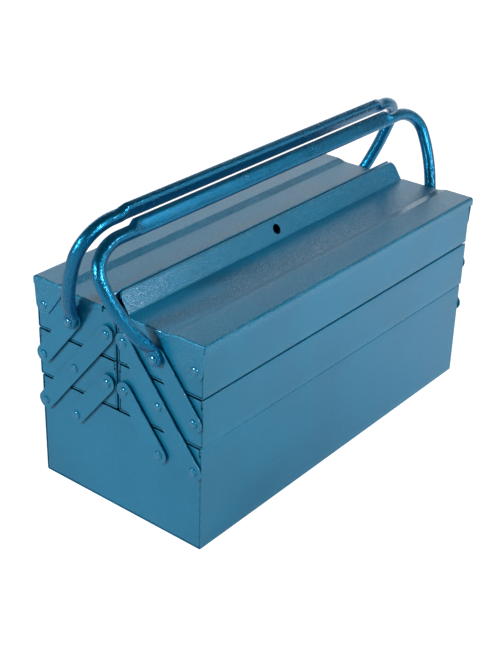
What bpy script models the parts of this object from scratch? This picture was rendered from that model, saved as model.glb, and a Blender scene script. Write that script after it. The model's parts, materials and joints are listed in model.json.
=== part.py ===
"""Cantilever toolbox: a sheet-metal base, two tiers of trays on each side, swing arms,
two lids and two carrying handles. Metres, +Z up, +X along the length, front at -Y.
The origin is on the ground under the middle of the base."""
import bpy
import bmesh
from math import asin, atan2, cos, pi, radians, sin, tan
from mathutils import Matrix, Vector

# Body and trays
BODY_LENGTH = 0.430
BODY_WIDTH = 0.200
SHEET = 0.0009                 # thickness of every sheet part
BASE_HEIGHT = 0.1069
BASE_INSET = 0.0015            # the base's long faces stand this far behind the trays'
TRAY_HEIGHT = 0.0485
TRAY_GAP = 0.0010              # between a rim and the floor above it
CENTRE_GAP = 0.0025            # between the front and rear trays
CORNER_RADIUS = 0.0020         # outside radius where a wall turns into the floor
HEM_DEPTH = 0.0060             # rim folded back down inside the wall
PANEL_FLANGE = 0.0090          # end panel's flanges, turned inwards
FIT_GAP = 0.0003               # between pieces that touch
HEM_FOLD = 0.0006              # radius of a folded edge's middle line

# Lids
LID_OVERHANG = 0.0026
LID_END_GAP = 0.0006           # between an end panel and the lid's end flange
LID_CLEARANCE = 0.0006         # above the top tray's rim
LID_STEP_START = 0.0605        # from the centre plane to the foot of the step
LID_STEP_RUN = 0.0095
LID_STEP_RISE = 0.0024
LID_EDGE_RADIUS = 0.0030
LID_LIP = 0.0085               # depth of the turned-down front edge
END_LIP = 0.0062               # depth of the turned-down ends, away from the ears
EAR_RADIUS = 0.0092
EAR_SLOPE = radians(53.0)      # of the ear's inner edge, from the horizontal
LID_PIVOT_INSET = 0.0092       # from the tray's long face
LID_PIVOT_DROP = 0.0230        # from the top tray's rim
RIDGE_HEIGHT = 0.0178          # upstand along the lid's inner edge
RIDGE_LEAN = radians(33.0)     # of the upstand, from the vertical
RIDGE_GAP = 0.0026             # between the two upstands at their tops
RIDGE_FOOT_RADIUS = 0.0030
RIDGE_HEM = 0.0050
RIDGE_END_SETBACK = 0.0020
RIDGE_END_RADIUS = 0.0070
PADLOCK_HOLE_DIAMETER = 0.0105

# Swing arms and rivets
ARM_WIDTH = 0.0175
ARM_THICKNESS = 0.0015
ARM_STANDOFF = 0.0020          # from the end panel's face to the arm's inner face
PIVOT_DROP = 0.0239            # from the base's rim to its row of pivots
OUTER_PIVOT_INSET = 0.0085     # from a long face to the outer column of pivots
INNER_PIVOT_INSET = 0.0105     # from the centre plane to the inner column
RIVET_RADIUS = 0.0025
RIVET_CLEARANCE = 0.0004       # around a shank in its holes
RIVET_HEAD_RADIUS = 0.0043
RIVET_HEAD_HEIGHT = 0.0019
RIVET_SHOULDER_RADIUS = 0.0045
RIVET_TAIL_HEIGHT = 0.0012
DOME_SHOULDER = (0.62, 0.78)   # a point on the domed head, as shares of its radius and height
DOME_EDGE = 0.15               # height of the head's rim, as a share

# Handles
TUBE_DIAMETER = 0.0125
FLAT_THICKNESS = 0.0055        # where the tube's end is pressed flat for its rivet
FLAT_WIDTH = 0.0145
FLAT_LENGTH = 0.0085           # from the pivot to where the flat starts to open out
LEG_SLANT = (0.0085, 0.0110)   # how the leg leaves the flat: outwards, and away from the pivot
LEG_FULLNESS = 0.60            # where the leg is nearly at its widest, as a share of that radius
LEG_OPENED = 0.30              # share of the leg over which the flat opens into the tube
HANDLE_WIDEST_RADIUS = 0.0800  # from the pivot to the widest point of the legs
HANDLE_BEND = 0.0360           # how far the top bend runs back along the length
GRIP_HALF_LENGTH = 0.1930
GRIP_HEIGHT = 0.0165
GRIP_THICKNESS = 0.0090
GRIP_BLEND = 0.0120            # length over which the tube becomes the grip
GRIP_SPACING = 0.0152          # between the two grips' middles, across the box
GRIP_SET_BACK = 0.0040         # the pair leans this far behind the centre plane

FRONT, REAR = -1, 1
LEFT, RIGHT = -1, 1
SIDE_NAMES = {FRONT: "front", REAR: "rear"}
END_NAMES = {LEFT: "left", RIGHT: "right"}

# From the body's end to a leg's axis at its widest, and from the pivot to the tube along the top
HANDLE_SPREAD = {FRONT: 0.0325, REAR: 0.0250}
GRIP_RADIUS = {FRONT: 0.1065, REAR: 0.1130}

PAINT = {
    "body_blue": (0.055, 0.245, 0.405),
    "lid_blue": (0.075, 0.265, 0.420),
    "handle_blue": (0.015, 0.160, 0.345),
    "arm_blue": (0.045, 0.225, 0.385),
    "rivet_blue": (0.050, 0.235, 0.400),
}

RIVET_SIDES = 8
HOLE_SIDES = 8
PADLOCK_HOLE_SIDES = 16
ARC_STEPS = 4
EAR_STEPS = 10
BEND_STEPS = 7
LOFT_SIDES = 10
NOSE_STATIONS = (-0.97, -0.75, -0.35, 0.0)
LEG_STATIONS = (0.0, 0.10, 0.20, 0.30, 0.45, 0.62, 0.80, 1.0)
GRIP_STATIONS = (0.0, 0.5, 1.0)
FLAT_POWER, TUBE_POWER, GRIP_POWER = 4.0, 2.0, 3.0   # how square each section of a handle is

# Places that follow from the sizes above
half_length = BODY_LENGTH / 2
half_width = BODY_WIDTH / 2
tray_pitch = TRAY_HEIGHT + TRAY_GAP
mid_floor = BASE_HEIGHT + TRAY_GAP
top_floor = mid_floor + tray_pitch
top_rim = top_floor + TRAY_HEIGHT
lid_top = top_rim + LID_CLEARANCE + SHEET
ridge_top = lid_top + RIDGE_HEIGHT
lid_half_length = half_length + LID_END_GAP + SHEET
inner_pivot = INNER_PIVOT_INSET
outer_pivot = half_width - OUTER_PIVOT_INSET
middle_pivot = (inner_pivot + outer_pivot) / 2
base_pivot_height = BASE_HEIGHT - PIVOT_DROP
mid_pivot_height = base_pivot_height + tray_pitch
top_pivot_height = mid_pivot_height + tray_pitch
lid_pivot = (half_width - LID_PIVOT_INSET, top_rim - LID_PIVOT_DROP)
arm_inner_face = half_length + ARM_STANDOFF
arm_outer_face = arm_inner_face + ARM_THICKNESS
flat_inner_face = arm_outer_face + FIT_GAP

WELD = 0.000001                # points closer than this are one point
SECTION = Matrix(((0, 0, 1, 0), (1, 0, 0, 0), (0, 1, 0, 0), (0, 0, 0, 1)))   # (y, z, x) to (x, y, z)


def start_empty():
    for old in list(bpy.data.objects):
        bpy.data.objects.remove(old, do_unlink=True)
    made = []
    for name in ("cantilever_toolbox", "cutters"):
        group = bpy.data.collections.new(name)
        bpy.context.scene.collection.children.link(group)
        made.append(group)
    return made


parts, cutters = start_empty()


def paint(name):
    material = bpy.data.materials.get(name)
    if material is None:
        material = bpy.data.materials.new(name)
        material.use_nodes = True
        shader = material.node_tree.nodes["Principled BSDF"]
        shader.inputs["Base Color"].default_value = (*PAINT[name], 1.0)
        shader.inputs["Roughness"].default_value = 0.32
        shader.inputs["Metallic"].default_value = 0.35
    return material


def add_part(name, mesh, colour, origin=(0, 0, 0)):
    """Puts a mesh in world coordinates into the toolbox, its own origin at `origin`."""
    mesh.transform(Matrix.Translation(-Vector(origin)))
    mesh.name = name
    mesh.materials.clear()
    mesh.materials.append(paint(colour))
    part = bpy.data.objects.new(name, mesh)
    part.location = origin
    parts.objects.link(part)
    return part


def add_cutter(name, mesh):
    cutter = bpy.data.objects.new(name, mesh)
    cutter.hide_render = True
    cutter.display_type = "WIRE"
    cutters.objects.link(cutter)
    return cutter


def boolean(part, tool, operation):
    step = part.modifiers.new(f"{operation.lower()}_{tool.name}", "BOOLEAN")
    step.operation = operation
    step.solver = "EXACT"
    step.object = tool


def evaluated_mesh(thing):
    """Mesh of an object as its modifiers leave it, in world coordinates, welded, facing out."""
    bpy.context.view_layer.update()
    ready = thing.evaluated_get(bpy.context.evaluated_depsgraph_get())
    mesh = bpy.data.meshes.new_from_object(ready)
    mesh.transform(thing.matrix_world)
    bpy.data.objects.remove(thing, do_unlink=True)
    return welded(mesh)


def welded(mesh):
    shape = bmesh.new()
    shape.from_mesh(mesh)
    bmesh.ops.remove_doubles(shape, verts=shape.verts, dist=WELD)
    bmesh.ops.recalc_face_normals(shape, faces=shape.faces)
    shape.to_mesh(mesh)
    shape.free()
    return mesh


def extruded(outlines, low, high, frame=SECTION):
    """Solid between two planes from closed outlines; inner outlines are holes.
    With the default frame the outlines are (y, z) points and it runs from x=low to x=high."""
    curve = bpy.data.curves.new("outline", "CURVE")
    curve.dimensions = "2D"
    curve.fill_mode = "BOTH"
    curve.extrude = (high - low) / 2
    for outline in outlines:
        spline = curve.splines.new("POLY")
        spline.points.add(len(outline) - 1)
        for point, (u, v) in zip(spline.points, outline):
            point.co = (u, v, 0, 1)
        spline.use_cyclic_u = True
    thing = bpy.data.objects.new("outline", curve)
    thing.matrix_world = frame @ Matrix.Translation((0, 0, (low + high) / 2))
    cutters.objects.link(thing)
    return evaluated_mesh(thing)


def arc(centre, radius, start, end, steps=ARC_STEPS):
    """Points on an arc from angle start to angle end, both ends included."""
    turn = (end - start) / steps
    return [(centre[0] + radius * cos(start + turn * i), centre[1] + radius * sin(start + turn * i))
            for i in range(steps + 1)]


def circle(centre, radius, sides=HOLE_SIDES):
    return arc(centre, radius, 0, 2 * pi * (sides - 1) / sides, sides - 1)


def sheet_outline(middle, thickness=SHEET):
    """Closed outline of a sheet whose middle line is the open polyline `middle`."""
    left, right = [], []
    for i, point in enumerate(middle):
        before = Vector(middle[max(i - 1, 0)])
        after = Vector(middle[min(i + 1, len(middle) - 1)])
        here = Vector(point)
        into = (here - before).normalized() if i else (after - here).normalized()
        out = (after - here).normalized() if i < len(middle) - 1 else into
        normal = Vector((-into.y - out.y, into.x + out.x)).normalized()
        reach = thickness / 2 / max(normal.dot(Vector((-into.y, into.x))), 0.5)
        left.append(tuple(here + normal * reach))
        right.append(tuple(here - normal * reach))
    return left + right[::-1]


def mirrored(points, side):
    return [(side * u, v) for u, v in points]


def hem(top, outward):
    """Middle line of a rim: up the wall, over, and down its inner side."""
    centre = (top[0] - outward * HEM_FOLD, top[1] - HEM_FOLD - SHEET / 2)
    over = arc(centre, HEM_FOLD, 0, pi) if outward > 0 else arc(centre, HEM_FOLD, pi, 0)
    return over + [(over[-1][0], centre[1] - HEM_DEPTH)]


def wrap_line(inner, outer, floor, rim):
    """One sheet bent into a floor and two long walls with hemmed rims."""
    wall_in, wall_out = inner + SHEET / 2, outer - SHEET / 2
    radius = CORNER_RADIUS - SHEET / 2
    low = floor + SHEET / 2
    left_hem = hem((wall_in, rim), -1)
    right_hem = hem((wall_out, rim), 1)
    middle = left_hem[::-1]
    middle += arc((wall_in + radius, low + radius), radius, pi, 1.5 * pi)
    middle += arc((wall_out - radius, low + radius), radius, 1.5 * pi, 2 * pi)
    middle += right_hem
    return middle


def make_wrap(name, inner, outer, floor, rim, side):
    outline = mirrored(sheet_outline(wrap_line(inner, outer, floor, rim)), side)
    return add_part(name, extruded([outline], -half_length, half_length), "body_blue")


def make_end_panel(name, end, inner, outer, floor, rim, pivots, side):
    """Flat end plate between a wrap's walls, with flanges turned inwards on three sides."""
    edge = SHEET + FIT_GAP
    low, left, right = floor + edge, inner + edge, outer - edge
    top = rim - FIT_GAP
    corner = CORNER_RADIUS - edge
    hem_width = 2 * HEM_FOLD + FIT_GAP                       # the plate is notched round the hems
    hem_low = rim - HEM_FOLD - SHEET / 2 - HEM_DEPTH - FIT_GAP
    plate = [(left + hem_width, top), (left + hem_width, hem_low), (left, hem_low)]
    plate += arc((left + corner, low + corner), corner, pi, 1.5 * pi, 2)
    plate += arc((right - corner, low + corner), corner, 1.5 * pi, 2 * pi, 2)
    plate += [(right, hem_low), (right - hem_width, hem_low), (right - hem_width, top)]
    holes = [circle((side * y, z), RIVET_RADIUS + RIVET_CLEARANCE) for y, z in pivots]
    face, back = end * half_length, end * (half_length - SHEET)
    plate_mesh = extruded([mirrored(plate, side)] + holes, min(face, back), max(face, back))
    panel = add_part(name, plate_mesh, "body_blue")
    inside = SHEET / 2
    flange_top = hem_low - SHEET                             # the flanges stop below the hems
    flange_line = [(left + inside, flange_top), (left + inside, low + corner)]
    flange_line += [(left + inside + corner, low + inside), (right - inside - corner, low + inside)]
    flange_line += [(right - inside, low + corner), (right - inside, flange_top)]
    root, tip = end * (half_length - SHEET / 2), end * (half_length - PANEL_FLANGE)
    flange_mesh = extruded([mirrored(sheet_outline(flange_line), side)], min(root, tip), max(root, tip))
    boolean(panel, add_cutter(f"{name}_flanges", flange_mesh), "UNION")
    return panel


def capsule(first, last, radius):
    """Outline of a flat bar with round ends about two pivots."""
    heading = atan2(last[1] - first[1], last[0] - first[0])
    tail = arc(first, radius, heading + pi / 2, heading + 1.5 * pi, 2 * ARC_STEPS)
    nose = arc(last, radius, heading - pi / 2, heading + pi / 2, 2 * ARC_STEPS)
    return tail + nose


def make_arm(name, end, side, pivots, origin):
    points = mirrored(pivots, side)
    outline = capsule(points[0], points[-1], ARM_WIDTH / 2)
    holes = [circle(point, RIVET_RADIUS + RIVET_CLEARANCE) for point in points]
    low, high = sorted((end * arm_inner_face, end * arm_outer_face))
    arm = extruded([outline] + holes, low, high)
    return add_part(name, arm, "arm_blue", (end * arm_inner_face, side * origin[0], origin[1]))


def rivet_mesh(end, pivot, head_base, shoulder):
    """A rivet turned about +Z, then laid along X at one end of the box. On the profile, z is
    the distance from the middle of the box. A shoulder keeps an arm clear of the end panel."""
    tail_face = half_length - SHEET - FIT_GAP
    out, up = DOME_SHOULDER
    profile = [(0, head_base + RIVET_HEAD_HEIGHT),
               (RIVET_HEAD_RADIUS * out, head_base + RIVET_HEAD_HEIGHT * up),
               (RIVET_HEAD_RADIUS, head_base + RIVET_HEAD_HEIGHT * DOME_EDGE),
               (RIVET_HEAD_RADIUS, head_base), (RIVET_RADIUS, head_base)]
    if shoulder:
        low, high = half_length + FIT_GAP, arm_inner_face - FIT_GAP
        profile += [(RIVET_RADIUS, high), (RIVET_SHOULDER_RADIUS, high)]
        profile += [(RIVET_SHOULDER_RADIUS, low), (RIVET_RADIUS, low)]
    profile += [(RIVET_RADIUS, tail_face), (RIVET_HEAD_RADIUS, tail_face)]
    profile += [(RIVET_HEAD_RADIUS, tail_face - RIVET_TAIL_HEIGHT), (0, tail_face - RIVET_TAIL_HEIGHT)]
    mesh = bpy.data.meshes.new("rivet_profile")
    mesh.from_pydata([(r, 0, z) for r, z in profile],
                     [(i, i + 1) for i in range(len(profile) - 1)], [])
    thing = bpy.data.objects.new("rivet_profile", mesh)
    place = Matrix.Translation((0, pivot[0], pivot[1]))
    thing.matrix_world = place @ Matrix.Rotation(end * pi / 2, 4, "Y")
    cutters.objects.link(thing)
    turn = thing.modifiers.new("turn", "SCREW")
    turn.steps = turn.render_steps = RIVET_SIDES
    turn.use_merge_vertices = True
    turn.merge_threshold = WELD
    return evaluated_mesh(thing)


def make_rivets(name, side, pivot, seat):
    """The same rivet at both ends of the box; its head holds what lies under `seat`."""
    centre = (side * pivot[0], pivot[1])
    for end in (LEFT, RIGHT):
        mesh = rivet_mesh(end, centre, seat + FIT_GAP, True)
        add_part(f"{name}_{END_NAMES[end]}", mesh, "rivet_blue", (end * half_length, *centre))


def ridge_line():
    """Middle line of the lid's upstand, from its inner hem down to the flat of the lid."""
    half = SHEET / 2
    along = Vector((sin(RIDGE_LEAN), -cos(RIDGE_LEAN)))      # down the slope, away from the centre
    across = Vector((-cos(RIDGE_LEAN), -sin(RIDGE_LEAN)))    # towards the underside
    reach = HEM_FOLD + half
    fold_centre = Vector((RIDGE_GAP / 2 + reach, ridge_top - reach))
    turn = atan2(-across.y, -across.x)
    over = arc(fold_centre, HEM_FOLD, turn + pi, turn)
    under = Vector(over[0]) + along * RIDGE_HEM
    foot_height = lid_top - half
    drop = over[-1][1] - foot_height
    foot = Vector((over[-1][0] + drop * tan(RIDGE_LEAN), foot_height))
    turn_length = RIDGE_FOOT_RADIUS * tan((pi / 2 - RIDGE_LEAN) / 2)
    bend_start = foot - along * turn_length
    bend_centre = bend_start + Vector((cos(RIDGE_LEAN), sin(RIDGE_LEAN))) * RIDGE_FOOT_RADIUS
    bend = arc(bend_centre, RIDGE_FOOT_RADIUS, pi + RIDGE_LEAN, 1.5 * pi)
    return [tuple(under)] + over + bend


def lid_line():
    """Middle line of the whole lid, from the centre outwards."""
    half = SHEET / 2
    low, high = lid_top - half, lid_top + LID_STEP_RISE - half
    step_end = LID_STEP_START + LID_STEP_RUN
    lip = half_width + LID_OVERHANG - half
    radius = LID_EDGE_RADIUS - half
    line = ridge_line()
    line += [(LID_STEP_START, low), (step_end, high)]
    line += arc((lip - radius, high - radius), radius, pi / 2, 0)
    line += [(lip, high + half - LID_LIP)]
    return line


def end_flange_outline():
    """Turned-down end of the lid, with the ear that reaches the lid's pivot."""
    under = lid_top - SHEET + FIT_GAP                        # the flange laps a little into the sheet
    step_under = under + LID_STEP_RISE
    step_end = LID_STEP_START + LID_STEP_RUN
    inner = ridge_line()[-1][0]
    y, z = lid_pivot
    outer = half_width + LID_OVERHANG
    round_start = lid_top + LID_STEP_RISE - LID_EDGE_RADIUS
    lip_low = lid_top - END_LIP
    # the ear's round end runs from its outer edge, under the pivot, to the foot of its inner edge
    ear_end = -(pi / 2 + EAR_SLOPE)
    foot = (y + EAR_RADIUS * cos(ear_end), z + EAR_RADIUS * sin(ear_end))
    inner_edge = foot[0] - (lip_low - foot[1]) / tan(EAR_SLOPE)
    outline = [(inner, under), (LID_STEP_START, under), (step_end, step_under)]
    outline += [(outer - LID_EDGE_RADIUS, step_under), (outer - SHEET, round_start)]
    outline += arc(lid_pivot, EAR_RADIUS, 0.0, ear_end, EAR_STEPS)
    outline += [(inner_edge, lip_low), (inner, lip_low)]
    return outline


def make_lid(side):
    name = f"{SIDE_NAMES[side]}_lid"
    outline = mirrored(sheet_outline(lid_line()), side)
    sheet_end = lid_half_length - SHEET / 4                  # the end flanges stand a touch proud
    lid = add_part(name, extruded([outline], -sheet_end, sheet_end), "lid_blue",
                   (0, side * lid_pivot[0], lid_pivot[1]))
    pivot = (side * lid_pivot[0], lid_pivot[1])
    flange = mirrored(end_flange_outline(), side)
    for end in (LEFT, RIGHT):
        low, high = sorted((end * lid_half_length, end * (lid_half_length - SHEET)))
        ear = add_cutter(f"{name}_{END_NAMES[end]}_flange", extruded([flange], low, high))
        boolean(lid, ear, "UNION")
        # the pivot rivet is fast in the ear and turns in the tray's end panel
        stud = rivet_mesh(end, pivot, lid_half_length - SHEET / 2, False)
        boolean(lid, add_cutter(f"{name}_{END_NAMES[end]}_stud", stud), "UNION")
        boolean(lid, ridge_end_cutter(name, end, side), "DIFFERENCE")
    boolean(lid, padlock_cutter(name, side), "DIFFERENCE")
    return lid


def ridge_end_cutter(name, end, side):
    """Takes the upstand off short of the lid's end and rounds its top corner."""
    stop = half_length - RIDGE_END_SETBACK
    beyond = lid_half_length + SHEET
    above = ridge_top + SHEET
    foot = lid_top + FIT_GAP
    centre = (stop - RIDGE_END_RADIUS, ridge_top - RIDGE_END_RADIUS)
    outline = [(stop, foot)] + arc(centre, RIDGE_END_RADIUS, 0, pi / 2, 2 * ARC_STEPS)
    outline += [(centre[0], above), (beyond, above), (beyond, foot)]
    standing = Matrix.Rotation(pi / 2, 4, "X")
    reach = LID_STEP_START / 2
    low, high = sorted((0.0, -side * reach))
    mesh = extruded([mirrored(outline, end)], low, high, standing)
    return add_cutter(f"{name}_{END_NAMES[end]}_ridge_end", mesh)


def padlock_cutter(name, side):
    """Round hole square through the upstand, halfway up it."""
    line = ridge_line()
    top, foot = Vector(line[ARC_STEPS + 1]), Vector(line[ARC_STEPS + 2])
    middle = (top + foot) / 2
    reach = PADLOCK_HOLE_DIAMETER / 2
    frame = Matrix.Translation((0, side * middle.x, middle.y))
    frame = frame @ Matrix.Rotation(side * (RIDGE_LEAN - pi / 2), 4, "X")
    outline = circle((0, 0), PADLOCK_HOLE_DIAMETER / 2, PADLOCK_HOLE_SIDES)
    return add_cutter(f"{name}_padlock_hole", extruded([outline], -reach, reach, frame))


def bezier(points, t):
    a, b, c, d = (Vector(p) for p in points)
    s = 1 - t
    return a * s ** 3 + b * 3 * s * s * t + c * 3 * s * t * t + d * t ** 3


def blend(low, high, t):
    return low + (high - low) * t


def smooth_step(t):
    t = min(t, 1.0)
    return t * t * (3 - 2 * t)


def handle_stations(side):
    """Half of the handle from its riveted end to the middle of the grip, as stations of
    (x, radius from the pivot, half width across the handle, half depth in its plane, squareness)."""
    tube = TUBE_DIAMETER / 2
    thin, wide = FLAT_THICKNESS / 2, FLAT_WIDTH / 2
    flat_x = flat_inner_face + thin
    widest = half_length + HANDLE_SPREAD[side]
    grip_radius = GRIP_RADIUS[side]
    stations = []
    for share in NOSE_STATIONS:                              # the round end, up to the pivot
        stations.append((flat_x, wide * share, wide * (1 - share * share) ** 0.5, thin, FLAT_POWER))
    out, up = LEG_SLANT
    leg = [(flat_x, FLAT_LENGTH), (flat_x + out, FLAT_LENGTH + up),
           (widest, HANDLE_WIDEST_RADIUS * LEG_FULLNESS), (widest, HANDLE_WIDEST_RADIUS)]
    for t in LEG_STATIONS:
        x, r = bezier(leg, t)
        opened = smooth_step(t / LEG_OPENED)
        power = blend(FLAT_POWER, TUBE_POWER, opened)
        stations.append((x, r, blend(wide, tube, opened), blend(thin, tube, opened), power))
    rise = grip_radius - HANDLE_WIDEST_RADIUS
    for i in range(1, BEND_STEPS + 1):                       # a quarter of an ellipse
        turn = i / BEND_STEPS * pi / 2
        x = widest - HANDLE_BEND * (1 - cos(turn))
        stations.append((x, HANDLE_WIDEST_RADIUS + rise * sin(turn), tube, tube, TUBE_POWER))
    lift = (GRIP_HEIGHT - TUBE_DIAMETER) / 2                 # lower edges stay in line
    for share in GRIP_STATIONS:
        x = GRIP_HALF_LENGTH + GRIP_BLEND * (0.5 - share)
        stations.append((x, grip_radius + lift * share, blend(tube, GRIP_THICKNESS / 2, share),
                         blend(tube, GRIP_HEIGHT / 2, share), blend(TUBE_POWER, GRIP_POWER, share)))
    return stations


def superellipse(half_u, half_v, power):
    """Points of |u|^power + |v|^power = 1, scaled to the two half sizes."""
    ring = []
    for i in range(LOFT_SIDES):
        angle = 2 * pi * (i + 0.5) / LOFT_SIDES
        c, s = cos(angle), sin(angle)
        reach = (abs(c) ** power + abs(s) ** power) ** (-1 / power)
        ring.append((half_u * reach * c, half_v * reach * s))
    return ring


def handle_lean(side):
    grip_place = GRIP_SET_BACK + side * GRIP_SPACING / 2
    return asin((middle_pivot - side * grip_place) / GRIP_RADIUS[side])


def make_handle(side):
    """Lofted tube, in a plane through its pivots that leans towards the centre."""
    half = handle_stations(side)
    path = [(-x, r, w, d, p) for x, r, w, d, p in half] + half[::-1]
    lean = handle_lean(side)
    up = Vector((0, -side * sin(lean), cos(lean)))           # along a leg, away from the pivot
    across = Vector((0, cos(lean), side * sin(lean)))        # square to the handle's plane
    pivot = Vector((0, side * middle_pivot, top_pivot_height))
    verts, faces = [], []
    for i, (x, r, width, depth, power) in enumerate(path):
        before, after = path[max(i - 1, 0)], path[min(i + 1, len(path) - 1)]
        run = Vector((after[0] - before[0], after[1] - before[1])).normalized()
        inward = Vector((run.y, 0, 0)) - up * run.x          # in the plane, square to the run
        centre = pivot + Vector((x, 0, 0)) + up * r
        for u, v in superellipse(width, depth, power):
            verts.append(centre + across * u + inward * v)
    n = LOFT_SIDES
    for i in range(len(path) - 1):
        for j in range(n):
            k = (j + 1) % n
            faces.append((i * n + j, i * n + k, (i + 1) * n + k, (i + 1) * n + j))
    faces += [tuple(range(n)), tuple(range(len(verts) - n, len(verts)))]
    mesh = bpy.data.meshes.new("handle")
    mesh.from_pydata(verts, [], faces)
    handle = add_part(f"{SIDE_NAMES[side]}_handle", welded(mesh), "handle_blue", pivot)
    hole = circle((pivot.y, pivot.z), RIVET_RADIUS + RIVET_CLEARANCE)
    for end in (LEFT, RIGHT):
        low, high = sorted((end * half_length, end * (flat_inner_face + 2 * FLAT_THICKNESS)))
        cutter = add_cutter(f"{handle.name}_{END_NAMES[end]}_hole", extruded([hole], low, high))
        boolean(handle, cutter, "DIFFERENCE")
    return handle


def make_base():
    outer = half_width - BASE_INSET
    make_wrap("base_wrap", -outer, outer, 0.0, BASE_HEIGHT, REAR)
    pivots = [(s * y, base_pivot_height) for s in (FRONT, REAR) for y in (middle_pivot, outer_pivot)]
    for end in (LEFT, RIGHT):
        make_end_panel(f"base_end_{END_NAMES[end]}", end, -outer, outer, 0.0, BASE_HEIGHT, pivots, REAR)


def make_tray(level, floor, side, pivots):
    name = f"{SIDE_NAMES[side]}_{level}_tray"
    inner, rim = CENTRE_GAP / 2, floor + TRAY_HEIGHT
    make_wrap(f"{name}_wrap", inner, half_width, floor, rim, side)
    for end in (LEFT, RIGHT):
        make_end_panel(f"{name}_end_{END_NAMES[end]}", end, inner, half_width, floor, rim, pivots, side)


def make_side(side):
    """Everything that swings out on one side of the box."""
    name = SIDE_NAMES[side]
    base_row, mid_row, top_row = base_pivot_height, mid_pivot_height, top_pivot_height
    make_tray("mid", mid_floor, side, [(y, mid_row) for y in (inner_pivot, middle_pivot, outer_pivot)])
    make_tray("top", top_floor, side, [(inner_pivot, top_row), (middle_pivot, top_row), lid_pivot])
    arms = {
        "long": [(outer_pivot, base_row), (middle_pivot, mid_row), (inner_pivot, top_row)],
        "lower": [(middle_pivot, base_row), (inner_pivot, mid_row)],
        "upper": [(outer_pivot, mid_row), (middle_pivot, top_row)],
    }
    stops = {"long": ("base", "mid", "top"), "lower": ("base", "mid"), "upper": ("mid", "top")}
    handle_face = flat_inner_face + FLAT_THICKNESS
    for arm, pivots in arms.items():
        for end in (LEFT, RIGHT):
            make_arm(f"{name}_{arm}_arm_{END_NAMES[end]}", end, side, pivots, pivots[0])
        for stop, pivot in zip(stops[arm], pivots):
            under_handle = arm == "upper" and stop == "top"
            seat = handle_face if under_handle else arm_outer_face
            make_rivets(f"{name}_rivet_{arm}_{stop}", side, pivot, seat)
    make_lid(side)
    make_handle(side)


make_base()
for box_side in (FRONT, REAR):
    make_side(box_side)
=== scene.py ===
# Cantilever toolbox in blue hammertone enamel: folded sheet, flat bar and tube, worked out from the frame
import json
from math import acos, asin, atan2, cos, pi, radians, sin, tan
import bpy
import bmesh
import numpy as np
from mathutils import Matrix, Vector


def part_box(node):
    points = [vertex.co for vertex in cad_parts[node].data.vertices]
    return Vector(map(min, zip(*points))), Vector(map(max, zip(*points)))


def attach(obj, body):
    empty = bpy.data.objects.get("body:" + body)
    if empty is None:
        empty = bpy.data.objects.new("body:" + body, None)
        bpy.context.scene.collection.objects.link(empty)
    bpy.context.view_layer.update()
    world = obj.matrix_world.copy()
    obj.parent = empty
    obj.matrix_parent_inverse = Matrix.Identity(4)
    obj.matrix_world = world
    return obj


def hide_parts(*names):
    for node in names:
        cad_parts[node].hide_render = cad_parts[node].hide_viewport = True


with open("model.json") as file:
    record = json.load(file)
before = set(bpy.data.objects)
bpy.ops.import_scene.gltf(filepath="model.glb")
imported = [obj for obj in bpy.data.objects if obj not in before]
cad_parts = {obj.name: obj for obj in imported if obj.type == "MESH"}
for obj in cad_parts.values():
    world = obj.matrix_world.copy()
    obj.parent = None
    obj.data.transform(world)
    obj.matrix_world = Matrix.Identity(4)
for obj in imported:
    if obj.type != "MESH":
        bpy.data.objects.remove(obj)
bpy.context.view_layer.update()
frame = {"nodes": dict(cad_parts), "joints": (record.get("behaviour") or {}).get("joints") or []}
scene = bpy.context.scene
print("frame loaded:", len(frame["nodes"]), "nodes")

# places that everything else is worked out from
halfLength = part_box("base_wrap")[1].x
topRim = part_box("rear_top_tray_wrap")[1].z
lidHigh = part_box("rear_lid")[1]
jointPlace = {joint["name"]: joint["pos_m"][1:] for joint in frame["joints"]}
sides = {"front": -1, "rear": 1}
ends = {"left": -1, "right": 1}
sheet = {
    "thickness": 0.0009, "rimRound": 0.00020, "rimSteps": 2, "rimAngle": radians(50), "fitGap": 0.0003,
    "foldRadius": 0.0006, "foldSteps": 8, "wornTurn": radians(60), "wornEdge": 0.9, "touch": 1e-6,
}
half = sheet["thickness"] / 2  # from a sheet's middle surface to its face


def gridFaces(rows, columns):  # quads between neighbouring rows and columns
    k = np.arange(rows * columns).reshape(rows, columns)
    return np.stack([k[:-1, :-1], k[:-1, 1:], k[1:, 1:], k[1:, :-1]], -1).reshape(-1, 4)


def patch(points, wearAndHighlight):  # a (rows, columns, 3) grid with how worn each of its points is; on the ridge's top fold this amount is also a painted highlight
    shape = points.shape[:2]
    return points.reshape(-1, 3), gridFaces(*shape).tolist(), np.broadcast_to(wearAndHighlight, shape).ravel()


def makePiece(name, patches, weld=2e-6):  # joins patches into one mesh, merging the points they share
    points = np.concatenate([p[0] for p in patches])
    wearAndHighlight = np.concatenate([p[2] for p in patches])
    starts = np.cumsum([0] + [len(p[0]) for p in patches])
    faces = [[int(start) + k for k in face] for start, p in zip(starts, patches) for face in p[1]]
    mesh = bpy.data.meshes.new(name)
    mesh.from_pydata(points.tolist(), [], faces)
    mesh.attributes.new("wearAndSheen", "FLOAT", "POINT").data.foreach_set("value", wearAndHighlight.astype(np.float32))
    work = bmesh.new()
    work.from_mesh(mesh)
    bmesh.ops.remove_doubles(work, verts=work.verts, dist=weld)
    bmesh.ops.recalc_face_normals(work, faces=work.faces)
    work.to_mesh(mesh)
    work.free()
    mesh.shade_smooth()
    piece = bpy.data.objects.new(name, mesh)
    scene.collection.objects.link(piece)
    return piece


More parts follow.
